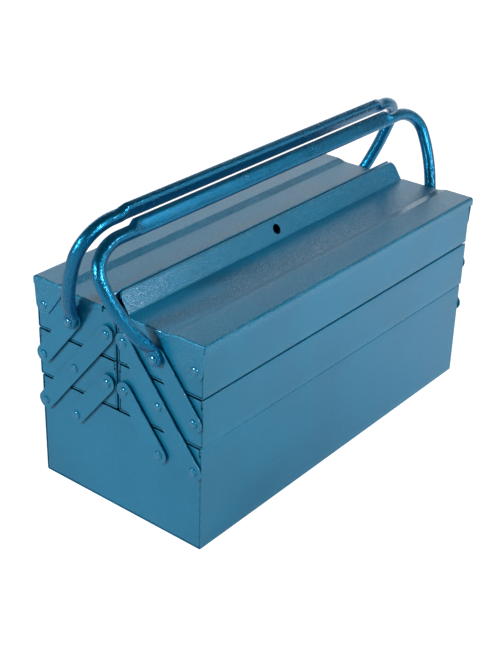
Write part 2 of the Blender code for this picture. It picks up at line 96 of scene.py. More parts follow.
def giveThickness(piece, thickness, rimRound=sheet["rimRound"]):
    # a middle surface becomes a wall with eased rims
    wall = piece.modifiers.new("thickness", "SOLIDIFY")
    wall.thickness = thickness
    wall.offset = 0.0
    wall.use_even_offset = True
    rim = piece.modifiers.new("easedRim", "BEVEL")
    rim.width = rimRound
    rim.segments = sheet["rimSteps"]
    rim.limit_method = "ANGLE"
    rim.angle_limit = sheet["rimAngle"]
    rim.harden_normals = True


def settle(piece, body, slot, finish, *nodes):  # rides on its body, stands for its nodes and takes its finish
    piece.data.materials.append(finish)
    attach(piece, body)
    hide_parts(*nodes)


def arcPoints(centre, radius, start, end, steps):  # points on a circle, from one angle to another
    angle = np.linspace(start, end, steps + 1)
    return np.stack([centre[0] + radius * np.cos(angle), centre[1] + radius * np.sin(angle)], -1)


def filleted(corners, radii, steps=6):  # a polyline whose inner corners are arcs tangent to both neighbours
    line, wearAndHighlight = [np.array(corners[0])], [0.0]
    for before, here, after, radius in zip(corners, corners[1:], corners[2:], radii):
        into = np.subtract(here, before) / np.hypot(*np.subtract(here, before))
        out = np.subtract(after, here) / np.hypot(*np.subtract(after, here))
        turn = acos(max(-1.0, min(1.0, float(into @ out))))
        hand = 1 if into[0] * out[1] - into[1] * out[0] > 0 else -1
        start = np.array(here) - into * radius * tan(turn / 2)
        centre = start + hand * radius * np.array((-into[1], into[0]))
        first = atan2(*(start - centre)[::-1])
        line += list(arcPoints(centre, radius, first, first + hand * turn, steps))
        wearAndHighlight += [min(1.0, turn / sheet["wornTurn"])] * (steps + 1)
    return np.array(line + [np.array(corners[-1])]), np.array(wearAndHighlight + [0.0])


def refined(line, wearAndHighlight, longest):  # splits long straight runs, keeping every point
    runs = np.hypot(*np.diff(line, axis=0).T)
    share = np.concatenate([i + np.arange(n) / n for i, n in enumerate(np.ceil(runs / longest).astype(int))])
    share = np.append(share, len(runs))
    at = np.arange(len(line))
    fresh = np.stack([np.interp(share, at, line[:, 0]), np.interp(share, at, line[:, 1])], -1)
    fade = np.where(np.isin(share, at), 1.0, 0.0)
    return fresh, np.interp(share, at, wearAndHighlight) * fade


# the finishes: cell is the width of one dimple of the hammertone, and relief its depth
enamelLook = {
    "body": {"tone": (0.001, 0.195, 0.360), "fleck": (0.004, 0.240, 0.425), "cell": 0.0018,
             "relief": 0.00006, "roughness": 0.34, "metal": 0.20, "coat": 0.30, "gloss": 0.12},
    "lid": {"tone": (0.001, 0.200, 0.370), "fleck": (0.006, 0.370, 0.630), "cell": 0.0014,
            "relief": 0.00018, "roughness": 0.32, "metal": 0.30, "coat": 0.50, "gloss": 0.10},
    "handle": {"tone": (0.000, 0.190, 0.390), "fleck": (0.004, 0.410, 0.720), "cell": 0.0013,
               "relief": 0.00011, "roughness": 0.28, "metal": 0.85, "coat": 0.35, "gloss": 0.08},
    "arm": {"tone": (0.001, 0.195, 0.360), "fleck": (0.004, 0.240, 0.425), "cell": 0.0018,
            "relief": 0.00006, "roughness": 0.34, "metal": 0.20, "coat": 0.30, "gloss": 0.12},
    "rivet": {"tone": (0.001, 0.210, 0.390), "fleck": (0.008, 0.280, 0.480), "cell": 0.0015,
              "relief": 0.00004, "roughness": 0.26, "metal": 0.45, "coat": 0.80, "gloss": 0.08},
}
# what all the finishes share; each pair is where a pattern starts to show and where it shows fully
dimples = {
    "swayScale": 240.0, "sway": 0.0016, "bowl": (0.05, 0.62), "fleck": (0.15, 0.85),
    "grainScale": 2400.0, "grainShare": 0.25, "cloudScale": 11.0, "cloud": (0.3, 0.7),
    "shade": (0.93, 1.07), "roughnessSwing": 0.04,
    # the worn tone is a paler blue for rubbed paint, and on the ridge's top fold it is also a painted
    # highlight
    "rubScale": 320.0, "rub": (0.42, 0.66), "wearAndSheenTone": (0.050, 0.330, 0.520), "wearAndSheenShare": 0.35,
}


def addNode(tree, kind, inputs=(), **settings):  # a shader node with its inputs linked or set
    node = tree.nodes.new("ShaderNode" + kind)
    for key, value in settings.items():
        setattr(node, key, value)
    for key, value in dict(inputs).items():
        if isinstance(value, bpy.types.NodeSocket):
            tree.links.new(value, node.inputs[key])
        else:
            node.inputs[key].default_value = value
    return node


def mixTones(tree, share, low, high):  # one colour turning into another
    node = addNode(tree, "Mix", data_type="RGBA")
    for socket, value in zip((node.inputs[0], node.inputs[6], node.inputs[7]), (share, low, high)):
        if isinstance(value, bpy.types.NodeSocket):
            tree.links.new(value, socket)
        else:
            socket.default_value = value if isinstance(value, float) else (*value, 1.0)
    return node.outputs[2]


def spread(tree, value, low, high, newLow, newHigh):  # maps one range on to another
    node = addNode(tree, "MapRange", {"Value": value, "From Min": low, "From Max": high,
                                      "To Min": newLow, "To Max": newHigh}, interpolation_type="SMOOTHSTEP")
    return node.outputs["Result"]


def hammertone(name):  # enamel dried into small cells, each a shallow bowl of its own tone
    look = enamelLook[name]
    material = bpy.data.materials.new(name + "Enamel")
    material.use_nodes = True
    tree = material.node_tree
    shader = tree.nodes["Principled BSDF"]
    place = addNode(tree, "TexCoord").outputs["Object"]

    def noise(scale, detail, output="Fac"):
        inputs = {"Vector": place, "Scale": scale, "Detail": detail}
        return addNode(tree, "TexNoise", inputs).outputs[output]

    def times(first, second):
        return addNode(tree, "Math", {0: first, 1: second}, operation="MULTIPLY").outputs[0]

    sway = noise(dimples["swayScale"], 2.0, "Color")
    shift = addNode(tree, "VectorMath", {0: sway, "Scale": dimples["sway"]}, operation="SCALE").outputs[0]
    bent = addNode(tree, "VectorMath", {0: place, 1: shift}, operation="ADD").outputs[0]
    cells = addNode(tree, "TexVoronoi", {"Vector": bent, "Scale": 1 / look["cell"]})
    bowl = spread(tree, cells.outputs["Distance"], *dimples["bowl"], 1.0, 0.0)
    grain = noise(dimples["grainScale"], 2.0)
    cloud = noise(dimples["cloudScale"], 3.0)
    chance = addNode(tree, "SeparateColor", {"Color": cells.outputs["Color"]}).outputs[0]
    bright = spread(tree, times(chance, bowl), *dimples["fleck"], 0.0, 1.0)
    tone = mixTones(tree, bright, look["tone"], look["fleck"])
    # the wear attribute mixes in the paler blue: rubbed paint at edges and folds, and along the ridge's top
    # fold also a painted highlight standing in for the backdrop's reflection
    wearAndHighlight = addNode(tree, "Attribute", attribute_name="wearAndSheen").outputs["Fac"]
    rub = spread(tree, noise(dimples["rubScale"], 4.0), *dimples["rub"], 0.0, dimples["wearAndSheenShare"])
    tone = mixTones(tree, times(wearAndHighlight, rub), tone, dimples["wearAndSheenTone"])
    shade = spread(tree, cloud, *dimples["cloud"], *dimples["shade"])
    toned = addNode(tree, "HueSaturation", {"Color": tone, "Value": shade})
    height = addNode(tree, "Math", {0: grain, 1: dimples["grainShare"], 2: bowl}, operation="MULTIPLY_ADD")
    bump = addNode(tree, "Bump", {"Strength": 1.0, "Distance": look["relief"], "Height": height.outputs[0]})
    matt = (look["roughness"] - dimples["roughnessSwing"], look["roughness"] + dimples["roughnessSwing"])
    tree.links.new(toned.outputs["Color"], shader.inputs["Base Color"])
    tree.links.new(spread(tree, cloud, *dimples["cloud"], *matt), shader.inputs["Roughness"])
    tree.links.new(bump.outputs["Normal"], shader.inputs["Normal"])
    tree.links.new(bump.outputs["Normal"], shader.inputs["Coat Normal"])
    shader.inputs["Metallic"].default_value = look["metal"]
    shader.inputs["Coat Weight"].default_value = look["coat"]
    shader.inputs["Coat Roughness"].default_value = look["gloss"]
    return material


enamel = {name: hammertone(name) for name in enamelLook}
print("enamels mixed:", ", ".join(enamel))


# base and tray shells: dish is how far the long walls bow inwards
trayShell = {
    "cornerRadius": 0.0020, "hemDepth": 0.0060, "dish": 0.00025, "columns": 24, "wallRows": 0.008,
    "endBand": 0.0012, "wornFold": 0.8, "wornHem": 0.4, "wornEnd": 0.7,
}
# the end panels' flanges stop this far under their tops, below the shells' hems
hemReach = trayShell["hemDepth"] + sheet["foldRadius"] + half + sheet["thickness"]


def hemLine(wall, rim, outward):  # from the wall's top, over the fold and down its inner side
    fold = sheet["foldRadius"]
    centre = (wall - outward * fold, rim - fold - half)
    start, end = (0.0, pi) if outward > 0 else (pi, 0.0)
    over = arcPoints(centre, fold, start, end, sheet["foldSteps"])
    return np.vstack([over, (over[-1][0], centre[1] - trayShell["hemDepth"])])


def makeShell(name, node, body):
    # one middle line, hem to hem, carried along the length; the long walls dish in by a sine of their height
    low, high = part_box(node)
    left, right = low.y + half, high.y - half
    floor, rim = low.z + half, high.z
    radius = trayShell["cornerRadius"] - half
    fold = sheet["foldRadius"]
    leftHem, rightHem = hemLine(left, rim, -1)[::-1], hemLine(right, rim, 1)
    trough, bend = filleted([leftHem[-1], (left, floor), (right, floor), rightHem[0]], (radius, radius))
    line = np.vstack([leftHem[:-1], trough, rightHem[1:]])
    bend = trayShell["wornFold"] * bend
    wearAndHighlight = np.concatenate([np.ones(len(leftHem) - 1), bend, np.ones(len(rightHem) - 1)])
    wearAndHighlight[[0, -1]] = trayShell["wornHem"]
    line, wearAndHighlight = refined(line, wearAndHighlight, trayShell["wallRows"])
    x = np.linspace(-halfLength, halfLength, trayShell["columns"] + 1)
    inner = halfLength - trayShell["endBand"]
    x = np.sort(np.concatenate([x, [-inner, inner]]))
    rise = np.clip((line[:, 1] - floor) / (rim - 3 * fold - floor), 0, 1)  # 0 at the floor, 1 under the hem
    onWall = np.minimum(abs(line[:, 0] - left), abs(line[:, 0] - right)) < sheet["touch"]
    inward = np.where(line[:, 0] > (left + right) / 2, -1.0, 1.0) * onWall * np.sin(pi * rise)
    along = 1 - (x / halfLength) ** 2
    y = line[:, :1] + trayShell["dish"] * inward[:, None] * along[None, :]
    points = np.stack(np.broadcast_arrays(x[None, :], y, line[:, 1:]), -1)
    atEnd = (abs(x) > halfLength - sheet["touch"])[None, :]
    piece = makePiece(name, [patch(points, np.maximum(wearAndHighlight[:, None], trayShell["wornEnd"] * atEnd))])
    giveThickness(piece, sheet["thickness"])
    settle(piece, body, "body_blue", enamel["body"], node)


makeShell("baseShell", "base_wrap", "base")
for side in sides:
    for level in ("mid", "top"):
        makeShell(f"{side}{level.title()}TrayShell", f"{side}_{level}_tray_wrap", f"{side}_{level}_tray")
print("shells made")


# end panels: holeBlock is half the square of the grid that a hole takes up
endPanel = {
    "flange": 0.0090, "bend": 0.0012, "holeRadius": 0.0029, "holeBlock": 0.0054, "edgeBand": 0.0015,
    "topDrop": 0.0008, "cell": 0.02, "flangeRows": (0.4, 0.95, 1.0), "wornRim": 0.8,
    "wornFlange": (0.0, 0.0, 0.5),
}


def gridWithHoles(u, v, holes, block, steps=8):
    # a flat grid whose cells around each hole become four faces between a square and the hole's circle
    place = np.stack(np.meshgrid(u, v, indexing="ij"), -1)
    number = np.arange(len(u) * len(v)).reshape(len(u), len(v))
    keep = np.ones((len(u) - 1, len(v) - 1), bool)
    points, faces = [place.reshape(-1, 2)], []
    count = len(points[0])
    for holeU, holeV, radius in holes:
        i0, i1 = (int(np.argmin(abs(u - holeU - s * block))) for s in (-1, 1))
        j0, j1 = (int(np.argmin(abs(v - holeV - s * block))) for s in (-1, 1))
        keep[i0:i1, j0:j1] = False
        ring = arcPoints((holeU, holeV), radius, -0.75 * pi, 1.25 * pi, 4 * steps)[:-1]  # from the low corner
        points.append(ring)
        loops = (number[i0:i1 + 1, j0], number[i1, j0:j1 + 1],
                 number[i0:i1 + 1, j1][::-1], number[i0, j0:j1 + 1][::-1])
        for quarter, loop in enumerate(loops):
            arc = [count + (steps * quarter + k) % len(ring) for k in range(steps + 1)]
            faces.append([int(n) for n in loop] + arc[::-1])
        count += len(ring)
    quads = np.stack([number[:-1, :-1], number[1:, :-1], number[1:, 1:], number[:-1, 1:]], -1)[keep]
    return np.vstack(points), quads.tolist() + faces


def gridLines(low, high, extra, longest):  # sorted lines across a range, with no gap much over the longest
    lines = np.unique(np.round(np.clip([low, high, *extra], low, high), 6))
    parts = [np.linspace(a, b, max(1, int((b - a) / longest)) + 1)[:-1] for a, b in zip(lines, lines[1:])]
    return np.append(np.concatenate(parts), lines[-1])


def makeEndPanel(name, node, body, end, holes):
    # a flat plate, and a rim profile carried round three of its sides: a quarter bend, then a straight flange
    low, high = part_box(node)
    bend, band, block = endPanel["bend"], endPanel["edgeBand"], endPanel["holeBlock"]
    y0, y1 = low.y + half + bend, high.y - half - bend
    z0, z1 = low.z + half + bend, high.z - endPanel["topDrop"]
    flangeTop = z1 - hemReach
    beside = [y + s * block for y, z in holes for s in (-1, 1)]
    above = [z + s * block for y, z in holes for s in (-1, 1)]
    yLines = gridLines(y0, y1, [y0 + band, y1 - band] + beside, endPanel["cell"])
    zLines = gridLines(z0, z1, [z0 + band, z1 - band, flangeTop] + above, endPanel["cell"])
    flat, faces = gridWithHoles(yLines, zLines, [(*h, endPanel["holeRadius"]) for h in holes], block)
    face = end * (halfLength - half)
    plate = np.insert(flat, 0, face, axis=1)
    fromRim = np.minimum.reduce([flat[:, 0] - y0, y1 - flat[:, 0], flat[:, 1] - z0, z1 - flat[:, 1]])
    wearAndHighlight = np.where(fromRim < 10 * sheet["touch"], endPanel["wornRim"], 0.0)
    up = zLines[zLines < flangeTop + sheet["touch"]]
    corner = np.linspace(0, pi / 2, 6)[1:-1]
    path = np.vstack([np.stack([np.full(len(up), y0), up[::-1]], -1), np.tile((y0, z0), (len(corner), 1)),
                      np.stack([yLines, np.full(len(yLines), z0)], -1), np.tile((y1, z0), (len(corner), 1)),
                      np.stack([np.full(len(up), y1), up], -1)])
    heading = np.concatenate([np.full(len(up), pi), pi + corner, np.full(len(yLines), 1.5 * pi),
                              1.5 * pi + corner, np.full(len(up), 2 * pi)])
    turn = np.linspace(0, pi / 2, 5)
    deep = np.array(endPanel["flangeRows"]) * (endPanel["flange"] - half - bend) + bend
    out = np.concatenate([bend * np.sin(turn), np.full(len(deep), bend)])
    back = np.concatenate([bend * (1 - np.cos(turn)), deep])
    x = np.broadcast_to(face - end * back[None, :], (len(path), len(back)))
    y = path[:, :1] + np.cos(heading)[:, None] * out[None, :]
    z = path[:, 1:] + np.sin(heading)[:, None] * out[None, :]
    rimWorn = np.concatenate([np.full(len(turn), sheet["wornEdge"]), endPanel["wornFlange"]])
    piece = makePiece(name, [(plate, faces, wearAndHighlight), patch(np.stack([x, y, z], -1), rimWorn[None, :])])
    giveThickness(piece, sheet["thickness"])
    settle(piece, body, "body_blue", enamel["body"], node)


for endName, end in ends.items():
    holes = [jointPlace[f"{s}_{j}"] for s in sides for j in ("arms_swing", "lower_arms_swing")]
    makeEndPanel(f"base{endName.title()}End", f"base_end_{endName}", "base", end, holes)
    for side in sides:
        inner, middle = jointPlace[f"{side}_top_tray_pivot"], jointPlace[f"{side}_mid_tray_pivot"]
        outer = jointPlace[f"{side}_upper_arms_swing"]
        rows = {"mid": [(inner[0], middle[1]), middle, outer],
                "top": [inner, (middle[0], inner[1]), jointPlace[f"{side}_lid_hinge"]]}
        for level, holes in rows.items():
            makeEndPanel(f"{side}{level.title()}Tray{endName.title()}End",
                         f"{side}_{level}_tray_end_{endName}", f"{side}_{level}_tray", end, holes)
print("end panels made")


# swing arms: rings are where the polar grid's circles lie between a hole and the bar's outline
swingArm = {
    "width": 0.0175, "holeRadius": 0.0029, "rimRound": 0.00035, "rings": (0.0, 0.5, 0.88, 1.0), "steps": 24,
}


def barCell(reach, before, after):
    # polar grid about one hole, out to the bar's side, its round end, or the cut halfway to the next hole
    side, hole = swingArm["width"] / 2, swingArm["holeRadius"]
    corner = atan2(side, reach)
    steps = swingArm["steps"]
    atSide, atCut = steps // 4 + 1, steps // 3 + 1
    angles = [np.linspace(-pi / 2, -corner, atSide), np.linspace(-corner, corner, atCut),
              np.linspace(corner, pi / 2, atSide)]
    straight = np.unique(np.round(np.concatenate(angles), 9))
    rounded = np.linspace(-pi / 2, pi / 2, steps + 1)
    fore = straight if after else rounded
    aft = pi + (straight if before else rounded)
    angle = np.concatenate([fore, aft[1:-1], fore[:1] + 2 * pi])
    c, s = np.cos(angle), np.sin(angle)
    square = np.where(c > 0, after, before)
    tiny = 1e-9
    toSide, toCut = side / np.maximum(abs(s), tiny), reach / np.maximum(abs(c), tiny)
    radius = np.where(square, np.minimum(toSide, toCut), side)
    free = np.where(square, toSide <= toCut + tiny, True)
    share = np.array(swingArm["rings"])
    r = hole + (radius[:, None] - hole) * share[None, :]
    wearAndHighlight = np.where(free, 1.0, 0.0)[:, None] * (share == 1)[None, :]
    return r * c[:, None], r * s[:, None], wearAndHighlight


def makeArm(name, node, body, pivots):  # one flat bar, a cell for each hole
    low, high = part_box(node)
    x = (low.x + high.x) / 2
    first, last = np.array(pivots[0]), np.array(pivots[-1])
    along = (last - first) / np.hypot(*(last - first))
    across = np.array((-along[1], along[0]))
    reach = np.hypot(*(last - first)) / (len(pivots) - 1) / 2
    patches = []
    for k, pivot in enumerate(pivots):
        u, v, wearAndHighlight = barCell(reach, k > 0, k < len(pivots) - 1)
        flat = np.array(pivot) + u[..., None] * along + v[..., None] * across
        patches.append(patch(np.insert(flat, 0, x, axis=2), wearAndHighlight))
    piece = makePiece(name, patches)
    giveThickness(piece, high.x - low.x, swingArm["rimRound"])
    settle(piece, body, "arm_blue", enamel["arm"], node)


for side in sides:
    inner, middle = jointPlace[f"{side}_top_tray_pivot"], jointPlace[f"{side}_mid_tray_pivot"]
    baseOuter, baseMiddle = jointPlace[f"{side}_arms_swing"], jointPlace[f"{side}_lower_arms_swing"]
    outer = jointPlace[f"{side}_upper_arms_swing"]
    armPivots = {"long": [baseOuter, middle, inner], "lower": [baseMiddle, (inner[0], middle[1])],
                 "upper": [outer, (middle[0], inner[1])]}
    for arm, pivots in armPivots.items():
        for endName in ends:
            makeArm(f"{side}{arm.title()}Arm{endName.title()}", f"{side}_{arm}_arm_{endName}",
                    f"{side}_{arm}_arms", pivots)
print("swing arms made")


# rivets: shank, head and shoulder are radii, and the shoulder's start and end count from the box's end
rivet = {
    "shank": 0.0025, "head": 0.0043, "headHeight": 0.0019, "shoulder": 0.0045, "tail": 0.0012,
    "shoulderStart": 0.0003, "shoulderEnd": 0.0017, "sides": 28, "domeRows": 9, "wornRows": 5,
    "wornDome": 0.8, "sharp": radians(40),
}


def turned(profile, place, end):  # a profile of (radius, place along the box) turned about a pivot's line
    angle = np.linspace(0, 2 * pi, rivet["sides"] + 1)
    r, x = np.array(profile).T
    y = place[0] + r[:, None] * np.cos(angle)[None, :]
    z = place[1] + r[:, None] * np.sin(angle)[None, :]
    return np.stack(np.broadcast_arrays(end * x[:, None], y, z), -1)


def rivetProfile(top, shouldered):
    # domed head: a quarter ellipse from its crown to its rim, then shank, shoulder, shank and a flat tail
    seat = top - rivet["headHeight"]
    angle = np.linspace(pi / 2, 0, rivet["domeRows"])
    shank, shoulder, head = rivet["shank"], rivet["shoulder"], rivet["head"]
    line = [(head * cos(a), seat + rivet["headHeight"] * sin(a)) for a in angle] + [(shank, seat)]
    if shouldered:
        near, far = halfLength + rivet["shoulderStart"], halfLength + rivet["shoulderEnd"]
        line += [(shank, far), (shoulder, far), (shoulder, near), (shank, near)]
    tailFace = halfLength - sheet["thickness"] - sheet["fitGap"]
    tailEnd = tailFace - rivet["tail"]
    return line + [(shank, tailFace), (head, tailFace), (head, tailEnd), (0.0, tailEnd)]


def makeRivet(name, body, end, place, top, *nodes, shouldered=True):
    profile = rivetProfile(top, shouldered)
    wearAndHighlight = np.where(np.arange(len(profile)) < rivet["wornRows"], rivet["wornDome"], 0.0)[:, None]
    piece = makePiece(name, [patch(turned(profile, place, end), wearAndHighlight)])
    piece.data.set_sharp_from_angle(angle=rivet["sharp"])
    settle(piece, body, "rivet_blue", enamel["rivet"], *nodes)


for node in sorted(n for n in frame["nodes"] if "_rivet_" in n):
    side, _, arm, stop, endName = node.split("_")
    low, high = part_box(node)
    body = "base" if stop == "base" else f"{side}_{stop}_tray"
    name = f"{side}{arm.title()}{stop.title()}Rivet{endName.title()}"
    place = ((low.y + high.y) / 2, (low.z + high.z) / 2)
    makeRivet(name, body, ends[endName], place, max(-low.x, high.x), node)
print("rivets made")


# lids, as worked out for the rear one: the front one is its mirror image
lidForm = {
    "clearance": 0.0006, "stepStart": 0.0605, "stepRun": 0.0095, "stepRise": 0.0024, "stepRound": 0.0050,
    "edgeRadius": 0.0030, "lipDepth": 0.0085, "endLip": 0.0062, "endBend": 0.0013, "endStandOff": 0.0015,
    "earRadius": 0.0092, "earSlope": radians(53), "earSteps": 24, "cornerReach": radians(50), "dish": 0.00020,
    "ridgeLean": radians(33), "ridgeGap": 0.0026, "footRadius": 0.0030, "footRun": 0.01, "hem": 0.0040,
    "endSetback": 0.0020, "endRadius": 0.0070, "holeRadius": 0.00525, "holeBlock": 0.0080,
    "columnStep": 0.018, "rowStep": 0.002, "outerColumns": (0.6, 1.0),
    "flangeRows": (0.15, 0.4, 0.7, 0.95, 1.0), "wornHem": 0.2, "wornFlange": (0.0, 0.0, 0.0, 0.0, 0.7),
}
lidPivot = jointPlace["rear_lid_hinge"]


def ridgeProfile():
    # hem, fold, the leaning upstand and the hollow at its foot, with the upstand's two ends
    lean, fold = lidForm["ridgeLean"], sheet["foldRadius"]
    down = np.array((sin(lean), -cos(lean)))
    top = lidHigh.z - fold - half
    centre = (lidForm["ridgeGap"] / 2 + fold + half, top)
    over = arcPoints(centre, fold, lean + pi, lean, sheet["foldSteps"])
    flatHeight = topRim + lidForm["clearance"] + half
    foot = over[-1] + down * (over[-1][1] - flatHeight) / cos(lean)
    slope = filleted([over[-1], foot, foot + (lidForm["footRun"], 0.0)], [lidForm["footRadius"]])[0]
    line = np.vstack([over[0] + down * lidForm["hem"], over, slope[1:-1]])
    # the top fold takes the full amount: worn paint, and also a painted highlight, a light band standing in
    # for the backdrop's reflection on the rolled edge
    wearAndHighlight = np.concatenate([[lidForm["wornHem"]], np.ones(len(over)), np.zeros(len(slope) - 2)])
    return line, wearAndHighlight, over[-1], slope[1]


def topProfile(start):
    # from the ridge's foot across the flat, up the shallow step, over the long edge and down its lip
    low, rise = start[1], lidForm["stepRise"]
    outer = lidHigh.y - half
    corners = [start, (lidForm["stepStart"], low), (lidForm["stepStart"] + lidForm["stepRun"], low + rise),
               (outer, low + rise), (outer, low + rise + half - lidForm["lipDepth"])]
    radii = (lidForm["stepRound"], lidForm["stepRound"], lidForm["edgeRadius"] - half)
    line, wearAndHighlight = filleted(corners, radii, 8)
    return refined(line, wearAndHighlight, lidForm["rowStep"])


def earOutline(rowPlaces, start):
    # the end flange's lower edge: level, then down the ear's slope and round its end to the outer edge
    y, z = lidPivot
    radius, slope = lidForm["earRadius"], lidForm["earSlope"]
    lipLow = start[1] + half - lidForm["endLip"]
    first = -(pi / 2 + slope)
    tangent = np.array((y + radius * cos(first), z + radius * sin(first)))
    root = np.array((tangent[0] - (lipLow - tangent[1]) / tan(slope), lipLow))
    route = np.vstack([root, arcPoints(lidPivot, radius, first, 0.0, lidForm["earSteps"])])
    reach = np.append(0, np.cumsum(np.hypot(*np.diff(route, axis=0).T)))
    share = np.clip((rowPlaces - root[0]) / (rowPlaces[-1] - root[0]), 0, 1) * reach[-1]
    low = np.stack([np.interp(share, reach, route[:, 0]), np.interp(share, reach, route[:, 1])], -1)
    level = rowPlaces < root[0]
    low[level] = np.stack([rowPlaces[level], np.full(level.sum(), lipLow)], -1)
    return low


def ridgePatch(sign, line, wearAndHighlight, slopeTop, slopeFoot, columns, stop):
    # the ridge's line carried along the box with the padlock hole; near the top its ends draw in on an arc
    length = np.append(0, np.cumsum(np.hypot(*np.diff(line, axis=0).T)))
    middle = np.hypot(*(slopeFoot - slopeTop)) / 2 + length[np.argmin(np.hypot(*(line - slopeTop).T))]
    block, endRadius = lidForm["holeBlock"], lidForm["endRadius"]
    nearHole = middle + np.linspace(-0.9, 0.9, 9) * block
    rows = np.unique(np.round(np.concatenate([length, [middle - block, middle + block], nearHole]), 7))
    flat, faces = gridWithHoles(columns, rows, [(0.0, middle, lidForm["holeRadius"])], block)
    y, z = (np.interp(flat[:, 1], length, line[:, k]) for k in (0, 1))
    above = np.clip(z - (lidHigh.z - endRadius), 0, None)
    reach = stop - endRadius + np.sqrt(endRadius ** 2 - above ** 2)
    points = np.stack([flat[:, 0] * reach / stop, sign * y, z], -1)
    return points, faces, np.interp(flat[:, 1], length, wearAndHighlight)


def lidEndPatches(sign, top, start, plane, first):
    # from the top's ends: a quarter bend, then straight down to the ears' outline
    bend = lidForm["endBend"]
    low = earOutline(top[:, 0], first)
    quarter = np.linspace(0, pi / 2, 5)
    down = np.array(lidForm["flangeRows"])
    bendX = start[:, None] + (plane - start)[:, None] * np.sin(quarter)[None, :]
    bendZ = top[:, 1:] - bend * (1 - np.cos(quarter))[None, :]
    flangeX = np.full((len(top), len(down)), plane)
    bendY = np.repeat(top[:, :1], len(quarter), axis=1)
    flangeY = top[:, :1] + (low[:, :1] - top[:, :1]) * down[None, :]
    flangeZ = bendZ[:, -1:] + (low[:, 1:] - bendZ[:, -1:]) * down[None, :]
    x, y, z = np.hstack([bendX, flangeX]), np.hstack([bendY, flangeY]), np.hstack([bendZ, flangeZ])
    wearAndHighlight = np.concatenate([np.full(len(quarter), sheet["wornEdge"]), lidForm["wornFlange"]])[None, :]
    return [patch(np.stack([end * x, sign * y, z], -1), wearAndHighlight) for end in ends.values()]


def makeLid(side):
    # the ridge, the top with its columns drawn out to the end flanges' bend, and the two end flanges
    sign = sides[side]
    plane = halfLength + lidForm["endStandOff"] - half  # middle of the end flange
    bend, radius = lidForm["endBend"], lidForm["edgeRadius"]
    stop = halfLength - lidForm["endSetback"]
    block = lidForm["holeBlock"]
    columns = gridLines(-stop, stop, [-block, block], lidForm["columnStep"])
    ridge = ridgeProfile()
    foot = ridge[0][-1]

    top, topWorn = topProfile(foot)
    turn = np.zeros(len(top))  # 0 on the flats, a right angle down the lip
    edge = top[:, 0] > lidHigh.y - radius
    turn[edge] = np.arcsin(np.clip((top[edge, 0] - (lidHigh.y - radius)) / (radius - half), 0, 1))
    endPlace = plane - bend + bend * turn / (pi / 2)
    outer = np.array(lidForm["outerColumns"])[None, :] * (endPlace[:, None] - stop) + stop
    x = np.hstack([-outer[:, ::-1], np.broadcast_to(columns, (len(top), len(columns))), outer])
    across = np.clip((top[:, 0] - foot[0]) / (lidForm["stepStart"] - foot[0]), 0, 1)
    sag = lidForm["dish"] * np.sin(pi * across)[:, None] * (1 - (x / plane) ** 2)
    points = np.stack(np.broadcast_arrays(x, sign * top[:, :1], top[:, 1:] - sag), -1)
    nearEnd = (np.arange(x.shape[1]) % (x.shape[1] - 1) == 0)[None, :]
    topPatch = patch(points, sheet["wornEdge"] * np.maximum(topWorn[:, None], nearEnd))

    rows = turn <= lidForm["cornerReach"]
    piece = makePiece(side + "Lid", [ridgePatch(sign, *ridge, columns, stop), topPatch,
                                     *lidEndPatches(sign, top[rows], endPlace[rows], plane, foot)])
    giveThickness(piece, sheet["thickness"])
    settle(piece, side + "_lid", "lid_blue", enamel["lid"], side + "_lid")
    head = halfLength + lidForm["endStandOff"] + rivet["headHeight"]
    for endName, end in ends.items():
        makeRivet(f"{side}LidRivet{endName.title()}", side + "_lid", end, (sign * lidPivot[0], lidPivot[1]),
                  head, shouldered=False)


for side in sides:
    makeLid(side)
print("lids made")


# handles: distances up the leg and the radii count from the pivot, the spread from the box's end
handleForm = {
    "tube": 0.0125, "flat": 0.0055, "flatWidth": 0.0145, "flatLength": 0.0085, "slant": (0.0085, 0.0110),
    "fullness": 0.60, "opened": 0.30, "widestRadius": 0.0800, "bend": 0.0360, "gripHalf": 0.1930,
    "gripHeight": 0.0162, "gripThickness": 0.0090, "facet": 0.0065, "sides": 48, "standOff": 0.0038,
    "noseRows": 10, "legRows": 44, "bendRows": 27, "gripRows": 30,
    "facetRows": (0.0, 0.02, 0.1, 0.3, 0.5, 0.7, 0.9, 0.98, 1.0), "flatRows": (0.0, 0.4, 0.8),
    "flatSquareness": 4.0, "tubeSquareness": 2.0, "gripSquareness": 3.0, "wornGrip": 0.1, "wornFade": 0.002,
    "spread": {"front": 0.03249, "rear": 0.0250}, "gripRadius": {"front": 0.1065, "rear": 0.1130},
    "gripPlace": {"front": -0.0036, "rear": 0.0116},
}


def smooth(t):  # eases from 0 to 1
    t = np.clip(t, 0, 1)
    return t * t * (3 - 2 * t)


def stretch(x, r, width, depth, power):  # one stretch of a handle, its single values repeated along it
    return np.broadcast_arrays(x, r, width, depth, power)


